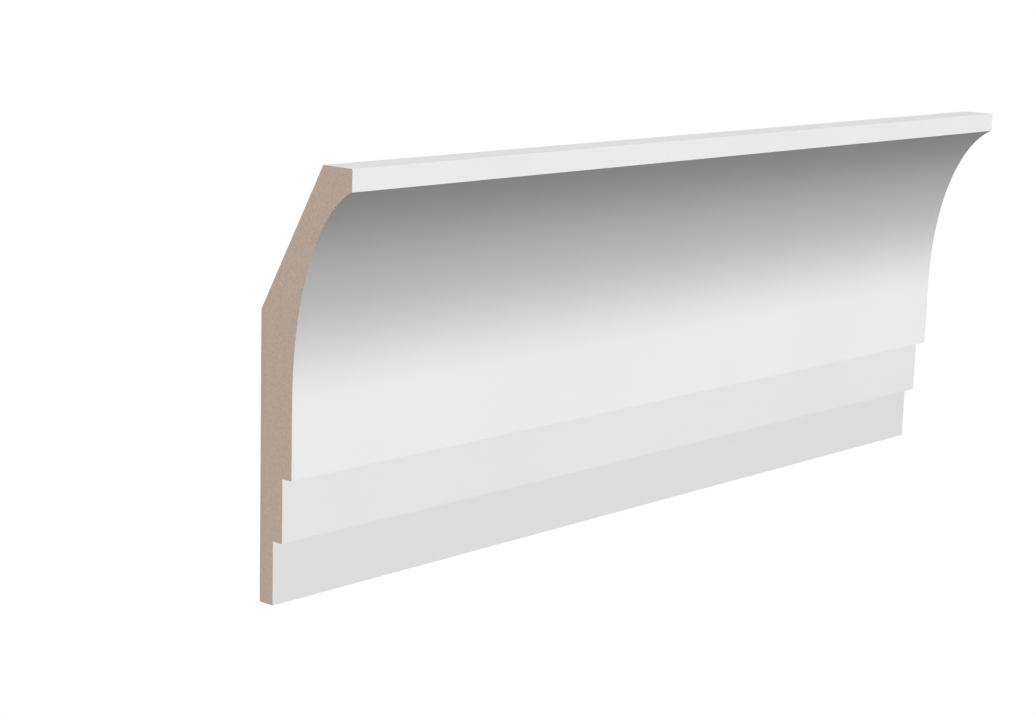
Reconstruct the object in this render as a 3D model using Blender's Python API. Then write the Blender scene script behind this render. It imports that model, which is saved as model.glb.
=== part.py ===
"""A length of crown moulding: a white-primed MDF cove cornice on a stepped foot, cut square at both ends.

It runs along X. The wall is the plane Y = 0 and the room is on its -Y side. +Z points up at the ceiling.
The origin is the middle of the flat back that lies on the wall. Sizes are in metres.
"""

import math

import bmesh
import bpy
from mathutils import Vector

# Driving dimensions
LENGTH = 0.346
HEIGHT = 0.135
PROJECTION = 0.038  # from the wall to the face of the lip
BACK_FLAT_HEIGHT = 0.090  # of the plumb back, up to the bevel behind the cove
TOP_FLAT_DEPTH = 0.012  # of the face that lies on the ceiling
LIP_HEIGHT = 0.0067
FOOT_THICKNESS = 0.0058  # of the moulding at its bottom edge
STEP_COUNT = 2
STEP_HEIGHT = 0.020
STEP_DEPTH = 0.004
FASCIA_HEIGHT = 0.025  # of the plumb face between the top step and the cove
COVE_SWEEP = math.radians(78)  # how much of its quarter ellipse the cove takes before the lip ends it
COVE_FACETS = 40

# Looks
PRIMER_COLOUR = (0.86, 0.86, 0.86, 1.0)
PRIMER_ROUGHNESS = 0.55
MDF_COLOUR = (0.44, 0.35, 0.28, 1.0)
MDF_ROUGHNESS = 0.9
SHARP_ANGLE = math.radians(12)


def stepped_foot():
    """The steps' corners as (depth from the wall, height), from the bottom edge up. Each steps out."""
    corners = []
    for step in range(STEP_COUNT):
        depth = FOOT_THICKNESS + step * STEP_DEPTH
        corners.append((depth, step * STEP_HEIGHT))
        corners.append((depth, (step + 1) * STEP_HEIGHT))
    return corners


def fascia():
    """The lower corner of the plumb face above the steps. Its upper end is the cove's first point."""
    return [(fascia_depth(), STEP_COUNT * STEP_HEIGHT)]


def fascia_depth():
    return FOOT_THICKNESS + STEP_COUNT * STEP_DEPTH


def cove():
    """The hollow: part of an ellipse that leaves the fascia plumb and ends at the lip's lower corner."""
    start_depth = fascia_depth()
    start_height = STEP_COUNT * STEP_HEIGHT + FASCIA_HEIGHT
    half_depth = (PROJECTION - start_depth) / (1 - math.cos(COVE_SWEEP))
    half_height = (HEIGHT - LIP_HEIGHT - start_height) / math.sin(COVE_SWEEP)
    curve = []
    for facet in range(COVE_FACETS + 1):
        angle = COVE_SWEEP * facet / COVE_FACETS
        depth = start_depth + half_depth * (1 - math.cos(angle))
        height = start_height + half_height * math.sin(angle)
        curve.append((depth, height))
    return curve


def head():
    """The lip's top corner, the ceiling face's back corner and the top of the plumb back."""
    return [
        (PROJECTION, HEIGHT),
        (PROJECTION - TOP_FLAT_DEPTH, HEIGHT),
        (0.0, BACK_FLAT_HEIGHT),
    ]


def section():
    """The section's corners in order: the bottom of the back, up the room side and down the back."""
    return [(0.0, 0.0)] + stepped_foot() + fascia() + cove() + head()


def plain_material(name, colour, roughness):
    material = bpy.data.materials.new(name)
    material.use_nodes = True
    shader = material.node_tree.nodes["Principled BSDF"]
    shader.inputs["Base Color"].default_value = colour
    shader.inputs["Roughness"].default_value = roughness
    shader.inputs["Metallic"].default_value = 0.0
    return material


def moulding_mesh(primer_slot, mdf_slot):
    """The section swept along X. The cut ends and the flat back are bare board."""
    shape = bmesh.new()
    left_end = -LENGTH / 2
    origin_height = BACK_FLAT_HEIGHT / 2
    rim = [shape.verts.new((left_end, -depth, height - origin_height)) for depth, height in section()]
    end_face = shape.faces.new(rim)
    swept = bmesh.ops.extrude_face_region(shape, geom=[end_face], use_keep_orig=True)
    moved = [item for item in swept["geom"] if isinstance(item, bmesh.types.BMVert)]
    bmesh.ops.translate(shape, verts=moved, vec=Vector((LENGTH, 0.0, 0.0)))
    bmesh.ops.recalc_face_normals(shape, faces=shape.faces)
    for face in shape.faces:
        is_end = abs(face.normal.x) > 0.5
        is_back = face.normal.y > 0.99
        face.material_index = mdf_slot if is_end or is_back else primer_slot
    mesh = bpy.data.meshes.new("crown_moulding")
    shape.to_mesh(mesh)
    shape.free()
    mesh.shade_smooth()
    mesh.set_sharp_from_angle(angle=SHARP_ANGLE)
    return mesh


def make_crown_moulding():
    finishes = [
        plain_material("white_primer", PRIMER_COLOUR, PRIMER_ROUGHNESS),
        plain_material("raw_mdf", MDF_COLOUR, MDF_ROUGHNESS),
    ]
    moulding = bpy.data.objects.new("crown_moulding", moulding_mesh(primer_slot=0, mdf_slot=1))
    for material in finishes:
        moulding.data.materials.append(material)
    bpy.context.scene.collection.objects.link(moulding)


def clear_scene():
    for old in list(bpy.data.objects):
        bpy.data.objects.remove(old, do_unlink=True)


clear_scene()
make_crown_moulding()
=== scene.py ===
"""The looks of a length of crown moulding: white primer on machined MDF, bare board at the ends and back.

Everything is in metres, in the frame's own axes: X along the length, +Y into the wall, +Z up.
"""

import math

import bmesh
import bpy
from mathutils import Matrix, Vector


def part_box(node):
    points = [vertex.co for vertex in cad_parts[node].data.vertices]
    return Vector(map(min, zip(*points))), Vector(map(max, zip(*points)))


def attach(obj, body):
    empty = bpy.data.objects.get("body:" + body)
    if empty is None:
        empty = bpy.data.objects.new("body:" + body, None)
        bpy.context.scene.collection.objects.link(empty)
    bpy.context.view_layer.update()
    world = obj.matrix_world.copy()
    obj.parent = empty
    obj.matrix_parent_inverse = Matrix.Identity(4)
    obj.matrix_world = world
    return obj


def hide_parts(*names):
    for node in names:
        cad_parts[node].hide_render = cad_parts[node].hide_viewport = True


NODE = "crown_moulding"
MM = 0.001

# The section, as the solid has it. Its height, projection and length come from the frame.
BACK_FLAT_HEIGHT = 90 * MM
TOP_FLAT_DEPTH = 12 * MM
LIP_HEIGHT = 6.7 * MM
FOOT_THICKNESS = 5.8 * MM
STEP_COUNT = 2
STEP_HEIGHT = 20 * MM
STEP_DEPTH = 4 * MM
FASCIA_HEIGHT = 25 * MM
COVE_SWEEP = math.radians(78)

# What the solid leaves out
COVE_FACETS = 160
ARRIS_RADIUS = 0.02 * MM  # of the eased outer edges
NOOK_RADIUS = 0.06 * MM  # of the cutter's fillet in the inner corners
ARC_FACETS = 6
SHARP_ANGLE = math.radians(50)
BARE_LEAN = 0.3  # a face whose normal leans further than this towards the wall has no primer

# Sizes and depths of what the finishes show
PRIMER_CLOUD_SIZE = 45 * MM
PEEL_SIZE = 1.3 * MM
PEEL_DEPTH = 0.003 * MM
KNIFE_PITCH = 1.6 * MM
PRIMED_RIPPLE_DEPTH = 0.0012 * MM
BARE_RIPPLE_DEPTH = 0.006 * MM
RIPPLE_DISTORTION = 0.6
RIPPLE_DRIFT_SCALE = 0.3
WAVE_PHASE_PER_UNIT = 20.0  # of a wave texture at scale 1, in radians
FIBRE_SIZE = 0.32 * MM
BACK_FIBRE_STRETCH = (3.0, 1.0, 1.6)
CLUMP_SIZE = 1.3 * MM
BACK_CLUMP_SIZE = 6.0 * MM
FLECK_SIZE = 1.0 * MM
BACK_FLECK_STRETCH = (2.0, 1.0, 1.0)
SKIN_DEPTH = 2.5 * MM
END_FUZZ_DEPTH = 0.02 * MM
BACK_FUZZ_DEPTH = 0.01 * MM
SAWN_DEPTH = 0.03 * MM
MIST_REACH = 7 * MM
MIST_DROP_SIZE = 0.35 * MM

# Parts of a noise's range, from where something starts to show to where it shows in full
MIDDLE = (0.3, 0.7)
WIDE_MIDDLE = (0.25, 0.75)
END_CLUMPS = (0.45, 0.70)
BACK_CLUMPS = (0.40, 0.70)
HIGH_SPOTS = (0.70, 0.76)
LOW_SPOTS = (0.24, 0.30)
MIST_DROPS = (0.35, 0.60)

# Colours in linear red, green and blue, and the shares in which bark and pale fibre tint the board
PRIMER_DARK = (0.852, 0.852, 0.852)
PRIMER_LIGHT = (0.868, 0.868, 0.868)
END_DARK = (0.400, 0.317, 0.260)
END_LIGHT = (0.563, 0.447, 0.365)
BACK_DARK = (0.36, 0.275, 0.205)
BACK_LIGHT_FIBRE = (0.52, 0.405, 0.31)
BARK = (0.27, 0.19, 0.13)
PALE_FIBRE = (0.66, 0.55, 0.44)
MIST = (0.80, 0.80, 0.80)
BLACK = (0.0, 0.0, 0.0)
WHITE = (1.0, 1.0, 1.0)
END_CLUMP_TINT = 0.10
END_FLECK_TINT = 0.45
END_PALE_TINT = 0.35
SKIN_TINT = 0.10
BACK_CLUMP_TINT = 0.14
BACK_FLECK_TINT = 0.6

# Roughness, from the low spots of the relief to its high ones where there are two, and specular level
PRIMER_ROUGHNESS = (0.60, 0.80)
END_ROUGHNESS = 0.9
BACK_ROUGHNESS = (0.72, 0.86)
PRIMER_SPECULAR = 0.25
END_SPECULAR = 0.15
BACK_SPECULAR = 0.2

# The camera, solved from the straight edges in the photograph
CAMERA_PLACE = Vector((-0.6092, -0.4946, 0.1606))
CAMERA_YAW = math.radians(48.040)  # to the right of straight at the wall
CAMERA_PITCH = math.radians(11.077)  # down
CAMERA_ROLL = math.radians(-1.625)
FOCAL_LENGTH_MM = 78.265
SENSOR_WIDTH_MM = 36.0
NEAREST_SEEN = 0.01
FARTHEST_SEEN = 200.0

# The light, as what a white matt surface square to it gives back
SOFT_LIGHT = 0.817
SOFT_ELEVATION = math.radians(59)  # up from the room towards the ceiling
SOFT_SPREAD = math.radians(32)
LOW_BEAM = 0.226
LOW_BEAM_FADE = (60 * MM, 96 * MM)  # where it starts and ends to fade, above the bottom edge
LIP_BEAM = 0.226
STEP_BEAMS = (0.060, 0.063)  # what is added above each step, from the lowest up
BEAM_DISTANCE = 10.0
BEAM_HALF_ANGLE = math.radians(85)
BEAM_OVERLAP = 0.6 * MM  # how far below its face a beam starts, as its last half millimetre stays dark
SIDE_LIGHT = 0.684
BACK_LIGHT = 0.60
SKY_LIGHT = 0.194
NARROW_SPREAD = math.radians(1)

# The floor
FLOOR_DROP = 0.5
FLOOR_SIZE = 60.0


class Section:
    """The moulding's section as (depth from the wall, height above the bottom edge)."""

    def __init__(self, height, projection):
        self.height = height
        self.projection = projection

    def corners(self):
        """The outline from the bottom of the back, up the room side: (depth, height, easing radius)."""
        outline = [(0.0, 0.0, ARRIS_RADIUS)]
        for step in range(STEP_COUNT + 1):
            depth = FOOT_THICKNESS + step * STEP_DEPTH
            if step:
                outline.append((depth - STEP_DEPTH, step * STEP_HEIGHT, NOOK_RADIUS))
            outline.append((depth, step * STEP_HEIGHT, ARRIS_RADIUS))
        outline += self.cove()
        outline.append((self.projection, self.height, ARRIS_RADIUS))
        outline.append((self.projection - TOP_FLAT_DEPTH, self.height, ARRIS_RADIUS))
        outline.append((0.0, BACK_FLAT_HEIGHT, ARRIS_RADIUS))
        return outline

    def cove(self):
        """Part of an ellipse, from the plumb fascia to the lip's lower arris."""
        start_depth = FOOT_THICKNESS + STEP_COUNT * STEP_DEPTH
        start_height = STEP_COUNT * STEP_HEIGHT + FASCIA_HEIGHT
        half_depth = (self.projection - start_depth) / (1 - math.cos(COVE_SWEEP))
        half_height = (self.height - LIP_HEIGHT - start_height) / math.sin(COVE_SWEEP)
        curve = []
        for facet in range(COVE_FACETS + 1):
            angle = COVE_SWEEP * facet / COVE_FACETS
            depth = start_depth + half_depth * (1 - math.cos(angle))
            height = start_height + half_height * math.sin(angle)
            radius = ARRIS_RADIUS if facet == COVE_FACETS else 0.0
            curve.append((depth, height, radius))
        return curve


def eased(outline):
    """The outline with an arc at each corner that has a radius."""
    points = []
    for index, (depth, height, radius) in enumerate(outline):
        corner = Vector((depth, height))
        if not radius:
            points.append(corner)
            continue
        to_last = (Vector(outline[index - 1][:2]) - corner).normalized()
        to_next = (Vector(outline[(index + 1) % len(outline)][:2]) - corner).normalized()
        half_angle = to_last.angle(to_next) / 2
        centre = corner + (to_last + to_next).normalized() * radius / math.sin(half_angle)
        reach = radius / math.tan(half_angle)
        first = (corner + to_last * reach - centre).normalized()
        last = (corner + to_next * reach - centre).normalized()
        for facet in range(ARC_FACETS + 1):
            points.append(centre + first.slerp(last, facet / ARC_FACETS) * radius)
    return points


def is_coated(start, end):
    """Whether the face between two outline points has primer: all but the plumb back and its bevel."""
    along = (end - start).normalized()
    outward = Vector((along.y, -along.x))
    return outward.x > -BARE_LEAN


def moulding_mesh(box, section):
    """The section swept along X. Material slots: primer, end grain, back."""
    primer, end_grain, back = range(3)
    (left, _, bottom), (right, wall, _) = box
    outline = eased(section.corners())
    shape = bmesh.new()
    near, far = (
        [shape.verts.new((x, wall - point.x, bottom + point.y)) for point in outline] for x in (left, right)
    )
    for index, start in enumerate(outline):
        after = (index + 1) % len(outline)
        face = shape.faces.new((near[index], near[after], far[after], far[index]))
        face.material_index = primer if is_coated(start, outline[after]) else back
    for cut_end in (near, far):
        shape.faces.new(cut_end).material_index = end_grain
    bmesh.ops.recalc_face_normals(shape, faces=shape.faces)
    mesh = bpy.data.meshes.new("moulding")
    shape.to_mesh(mesh)
    shape.free()
    mesh.set_sharp_from_angle(angle=SHARP_ANGLE)
    return mesh


def opaque(colour):
    return colour + (1.0,)


class Nodes:
    """A material's node tree, with short calls to add to it."""

    def __init__(self, name):
        self.material = bpy.data.materials.new(name)
        self.material.use_nodes = True
        self.tree = self.material.node_tree
        self.shader = self.tree.nodes["Principled BSDF"]
        self.place = self.add("ShaderNodeTexCoord").outputs["Object"]

    def add(self, kind, **settings):
        node = self.tree.nodes.new(kind)
        for name, value in settings.items():
            setattr(node, name, value)
        return node

    def feed(self, socket, value):
        if isinstance(value, bpy.types.NodeSocket):
            self.tree.links.new(value, socket)
        else:
            socket.default_value = value

    def noise(self, size, detail=2.0, roughness=0.5, stretch=(1.0, 1.0, 1.0)):
        """Noise from 0 to 1 whose grains are about this size in metres, longer where stretch is above 1."""
        mapping = self.add("ShaderNodeMapping")
        mapping.inputs["Scale"].default_value = [1 / s for s in stretch]
        self.feed(mapping.inputs["Vector"], self.place)
        noise = self.add("ShaderNodeTexNoise")
        self.feed(noise.inputs["Vector"], mapping.outputs["Vector"])
        self.feed(noise.inputs["Scale"], 1 / size)
        self.feed(noise.inputs["Detail"], detail)
        self.feed(noise.inputs["Roughness"], roughness)
        return noise.outputs["Fac"]

    def ramp(self, factor, span, low=0.0, high=1.0):
        """Values from low to high while the factor goes through the span."""
        node = self.add("ShaderNodeMapRange")
        self.feed(node.inputs["Value"], factor)
        for name, value in zip(("From Min", "From Max", "To Min", "To Max"), (*span, low, high)):
            node.inputs[name].default_value = value
        return node.outputs["Result"]

    def colours(self, factor, span, low, high):
        """Colours from low to high while the factor goes through the span."""
        node = self.add("ShaderNodeValToRGB")
        self.feed(node.inputs["Fac"], factor)
        for element, place, colour in zip(node.color_ramp.elements, span, (low, high)):
            element.position = place
            element.color = opaque(colour)
        return node.outputs["Color"]

    def ripple(self, pitch):
        """A sine wave from 0 to 1 along the length, slightly uneven, with this pitch in metres."""
        wave = self.add("ShaderNodeTexWave", wave_type="BANDS", bands_direction="X", wave_profile="SIN")
        self.feed(wave.inputs["Vector"], self.place)
        self.feed(wave.inputs["Scale"], 2 * math.pi / WAVE_PHASE_PER_UNIT / pitch)
        self.feed(wave.inputs["Distortion"], RIPPLE_DISTORTION)
        self.feed(wave.inputs["Detail Scale"], RIPPLE_DRIFT_SCALE)
        return wave.outputs["Fac"]

    def axis(self, name):
        """The place along one axis, in metres."""
        parts = self.add("ShaderNodeSeparateXYZ")
        self.feed(parts.inputs["Vector"], self.place)
        return parts.outputs[name]

    def multiply(self, first, second):
        node = self.add("ShaderNodeMath", operation="MULTIPLY")
        self.feed(node.inputs[0], first)
        self.feed(node.inputs[1], second)
        return node.outputs["Value"]

    def tinted(self, colour, tint, share):
        """The colour, with this share of a plain tint."""
        node = self.add("ShaderNodeMix", data_type="RGBA")
        share_socket, colour_socket, tint_socket = (
            next(i for i in node.inputs if i.enabled and i.name == name) for name in ("Factor", "A", "B")
        )
        self.feed(share_socket, share)
        self.feed(colour_socket, colour)
        self.feed(tint_socket, opaque(tint))
        return next(o for o in node.outputs if o.enabled)

    def bump(self, height, depth, under=None):
        """Relief of this depth in metres. It adds to another relief where one is given."""
        node = self.add("ShaderNodeBump")
        node.inputs["Distance"].default_value = depth
        self.feed(node.inputs["Height"], height)
        if under is not None:
            self.feed(node.inputs["Normal"], under)
        return node.outputs["Normal"]


def white_primer():
    """Matt sprayed primer: faint orange peel over the ripple that the cutters left across the length."""
    nodes = Nodes("white_primer")
    sockets = nodes.shader.inputs
    cloud = nodes.noise(PRIMER_CLOUD_SIZE, detail=2.0)
    peel = nodes.noise(PEEL_SIZE, detail=3.0)
    ripple = nodes.ripple(KNIFE_PITCH)
    nodes.feed(sockets["Base Color"], nodes.colours(cloud, MIDDLE, PRIMER_DARK, PRIMER_LIGHT))
    nodes.feed(sockets["Roughness"], nodes.ramp(peel, MIDDLE, *PRIMER_ROUGHNESS))
    sockets["Specular IOR Level"].default_value = PRIMER_SPECULAR
    rippled = nodes.bump(ripple, PRIMED_RIPPLE_DEPTH)
    nodes.feed(sockets["Normal"], nodes.bump(peel, PEEL_DEPTH, under=rippled))
    return nodes.material


def bare_end(box):
    """Sawn board: short fibres seen end on, a few dark and pale flecks, and a denser skin by the back."""
    nodes = Nodes("bare_mdf_end")
    sockets = nodes.shader.inputs
    wall = box[1][1]
    fibres = nodes.noise(FIBRE_SIZE, detail=3.0, roughness=0.6)
    colour = nodes.colours(fibres, WIDE_MIDDLE, END_DARK, END_LIGHT)
    clumps = nodes.noise(CLUMP_SIZE, detail=2.0)
    colour = nodes.tinted(colour, BARK, nodes.ramp(clumps, END_CLUMPS, high=END_CLUMP_TINT))
    flecks = nodes.noise(FLECK_SIZE, detail=1.0)
    colour = nodes.tinted(colour, BARK, nodes.ramp(flecks, HIGH_SPOTS, high=END_FLECK_TINT))
    colour = nodes.tinted(colour, PALE_FIBRE, nodes.ramp(flecks, LOW_SPOTS, low=END_PALE_TINT, high=0.0))
    skin = nodes.ramp(nodes.axis("Y"), (wall - SKIN_DEPTH, wall), high=SKIN_TINT)
    nodes.feed(sockets["Base Color"], nodes.tinted(colour, BARK, skin))
    sockets["Roughness"].default_value = END_ROUGHNESS
    sockets["Specular IOR Level"].default_value = END_SPECULAR
    sawn = nodes.bump(clumps, SAWN_DEPTH)
    nodes.feed(sockets["Normal"], nodes.bump(fibres, END_FUZZ_DEPTH, under=sawn))
    return nodes.material


def bare_back(box):
    """Planed board: fibres lying flat, knife ripple, and a mist of primer that drifted past the edges."""
    nodes = Nodes("bare_mdf_back")
    sockets = nodes.shader.inputs
    bottom, top = box[0][2], box[1][2]
    fibres = nodes.noise(FIBRE_SIZE, detail=4.0, roughness=0.65, stretch=BACK_FIBRE_STRETCH)
    colour = nodes.colours(fibres, WIDE_MIDDLE, BACK_DARK, BACK_LIGHT_FIBRE)
    clumps = nodes.noise(BACK_CLUMP_SIZE, detail=4.0, roughness=0.6)
    colour = nodes.tinted(colour, BARK, nodes.ramp(clumps, BACK_CLUMPS, high=BACK_CLUMP_TINT))
    flecks = nodes.noise(FLECK_SIZE, detail=1.0, stretch=BACK_FLECK_STRETCH)
    colour = nodes.tinted(colour, BARK, nodes.ramp(flecks, HIGH_SPOTS, high=BACK_FLECK_TINT))
    height = nodes.axis("Z")
    by_bottom = nodes.ramp(height, (bottom, bottom + MIST_REACH), low=1.0, high=0.0)
    by_top = nodes.ramp(height, (top - MIST_REACH, top))
    drops = nodes.ramp(nodes.noise(MIST_DROP_SIZE, detail=2.0), MIST_DROPS)
    for by_edge in (by_bottom, by_top):
        cover = nodes.multiply(nodes.multiply(by_edge, by_edge), drops)
        colour = nodes.tinted(colour, MIST, cover)
    nodes.feed(sockets["Base Color"], colour)
    nodes.feed(sockets["Roughness"], nodes.ramp(fibres, MIDDLE, *BACK_ROUGHNESS))
    sockets["Specular IOR Level"].default_value = BACK_SPECULAR
    rippled = nodes.bump(nodes.ripple(KNIFE_PITCH), BARE_RIPPLE_DEPTH)
    nodes.feed(sockets["Normal"], nodes.bump(fibres, BACK_FUZZ_DEPTH, under=rippled))
    return nodes.material


def make_moulding(box):
    (_, front, bottom), (_, wall, top) = box
    section = Section(height=top - bottom, projection=wall - front)
    moulding = bpy.data.objects.new("moulding", moulding_mesh(box, section))
    for material in (white_primer(), bare_end(box), bare_back(box)):
        moulding.data.materials.append(material)
    bpy.context.scene.collection.objects.link(moulding)
    even_faces = moulding.modifiers.new("even_faces", "WEIGHTED_NORMAL")
    even_faces.keep_sharp = True
    moulding.visible_diffuse = False  # so that its faces throw no light or shade on each other
    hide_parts(NODE)
    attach(moulding, "root")


def make_camera():
    forward = Vector((
        math.sin(CAMERA_YAW) * math.cos(CAMERA_PITCH),
        math.cos(CAMERA_YAW) * math.cos(CAMERA_PITCH),
        -math.sin(CAMERA_PITCH),
    ))
    level_right = Vector((math.cos(CAMERA_YAW), -math.sin(CAMERA_YAW), 0.0))
    right = Matrix.Rotation(CAMERA_ROLL, 3, forward) @ level_right
    up = right.cross(forward)
    turn = Matrix((right, up, -forward)).transposed().to_4x4()
    lens = bpy.data.cameras.new("camera")
    lens.lens = FOCAL_LENGTH_MM
    lens.sensor_width = SENSOR_WIDTH_MM
    lens.clip_start = NEAREST_SEEN
    lens.clip_end = FARTHEST_SEEN
    camera = bpy.data.objects.new("camera", lens)
    camera.matrix_world = Matrix.Translation(CAMERA_PLACE) @ turn
    bpy.context.scene.collection.objects.link(camera)
    bpy.context.scene.camera = camera


def add_light(name, towards, strength, spread=NARROW_SPREAD):
    """A broad, even light from the direction towards. It casts no shadow, so each face takes one tone."""
    light = bpy.data.lights.new(name, "SUN")
    light.energy = strength * math.pi
    light.angle = spread
    light.use_shadow = False
    light.cycles.use_multiple_importance_sampling = False
    lamp = bpy.data.objects.new(name, light)
    lamp.rotation_euler = Vector(towards).to_track_quat("Z", "Y").to_euler()
    bpy.context.scene.collection.objects.link(lamp)


def add_beam(name, strength, edge, fade=0.0, reaches_up=True):
    """Level light from far in front, cut off at the height of its edge as a studio flag would cut it.

    It reaches all that is above the edge, or all below it, and rises to full strength over the fade.
    """
    light = bpy.data.lights.new(name, "SPOT")
    light.spot_size = 2 * BEAM_HALF_ANGLE
    at_edge = math.cos(BEAM_HALF_ANGLE)
    at_full = math.cos(BEAM_HALF_ANGLE - fade / BEAM_DISTANCE)
    light.spot_blend = (at_full - at_edge) / (1 - at_edge)
    light.shadow_soft_size = 0.0
    light.use_shadow = False
    light.energy = strength * (2 * math.pi * BEAM_DISTANCE) ** 2
    lamp = bpy.data.objects.new(name, light)
    lamp.location = (0.0, -BEAM_DISTANCE, edge)
    rise = math.sin(BEAM_HALF_ANGLE) if reaches_up else -math.sin(BEAM_HALF_ANGLE)
    backwards = Vector((0.0, -math.cos(BEAM_HALF_ANGLE), -rise))
    lamp.rotation_euler = backwards.to_track_quat("Z", "Y").to_euler()
    bpy.context.scene.collection.objects.link(lamp)


def make_lights(box):
    """A soft light from above in front, level beams for each face, and plain light on the ends and back."""
    bottom, top = box[0][2], box[1][2]
    add_light("soft", (0, -math.cos(SOFT_ELEVATION), math.sin(SOFT_ELEVATION)), SOFT_LIGHT, SOFT_SPREAD)
    fade_start, fade_end = LOW_BEAM_FADE
    add_beam("below_cove", LOW_BEAM, bottom + fade_end, fade_end - fade_start, reaches_up=False)
    add_beam("lip", LIP_BEAM, top - LIP_HEIGHT - BEAM_OVERLAP)
    for step, strength in enumerate(STEP_BEAMS, start=1):
        add_beam(f"above_step_{step}", strength, bottom + step * STEP_HEIGHT - BEAM_OVERLAP)
    add_light("left", (-1, 0, 0), SIDE_LIGHT)
    add_light("right", (1, 0, 0), SIDE_LIGHT)
    add_light("back", (0, 1, 0), BACK_LIGHT)


def make_world():
    """White behind the object, and a dimmer even light on it."""
    world = bpy.data.worlds.new("studio")
    world.use_nodes = True
    tree = world.node_tree
    tree.nodes.clear()
    backdrop = tree.nodes.new("ShaderNodeBackground")
    backdrop.inputs["Color"].default_value = opaque(WHITE)
    sky = tree.nodes.new("ShaderNodeBackground")
    sky.inputs["Color"].default_value = (SKY_LIGHT, SKY_LIGHT, SKY_LIGHT, 1.0)
    choice = tree.nodes.new("ShaderNodeMixShader")
    choose_backdrop, when_lighting, when_seen = choice.inputs
    ray = tree.nodes.new("ShaderNodeLightPath")
    output = tree.nodes.new("ShaderNodeOutputWorld")
    tree.links.new(ray.outputs["Is Camera Ray"], choose_backdrop)
    tree.links.new(sky.outputs["Background"], when_lighting)
    tree.links.new(backdrop.outputs["Background"], when_seen)
    tree.links.new(choice.outputs["Shader"], output.inputs["Surface"])
    bpy.context.scene.world = world


def make_floor(bottom):
    """A plain white floor far enough below that the object leaves no mark on it."""
    shape = bmesh.new()
    bmesh.ops.create_grid(shape, x_segments=1, y_segments=1, size=FLOOR_SIZE / 2)
    mesh = bpy.data.meshes.new("floor")
    shape.to_mesh(mesh)
    shape.free()
    floor = bpy.data.objects.new("floor", mesh)
    floor.location.z = bottom - FLOOR_DROP
    material = bpy.data.materials.new("floor_white")
    material.use_nodes = True
    sockets = material.node_tree.nodes["Principled BSDF"].inputs
    sockets["Base Color"].default_value = opaque(BLACK)
    sockets["Specular IOR Level"].default_value = 0.0
    sockets["Emission Color"].default_value = opaque(WHITE)
    sockets["Emission Strength"].default_value = 1.0
    mesh.materials.append(material)
    floor.visible_diffuse = False
    floor.visible_glossy = False
    floor.visible_shadow = False
    bpy.context.scene.collection.objects.link(floor)


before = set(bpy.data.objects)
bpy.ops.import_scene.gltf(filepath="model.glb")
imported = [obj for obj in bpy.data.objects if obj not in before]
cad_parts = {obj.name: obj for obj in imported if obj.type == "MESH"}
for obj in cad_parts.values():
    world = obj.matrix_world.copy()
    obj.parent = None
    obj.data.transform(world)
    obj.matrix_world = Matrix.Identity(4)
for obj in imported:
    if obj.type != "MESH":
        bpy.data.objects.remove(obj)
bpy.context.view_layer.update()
node_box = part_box(NODE)

make_camera()
make_moulding(node_box)
make_lights(node_box)
make_world()
make_floor(node_box[0][2])
bpy.context.scene.view_settings.view_transform = "Standard"
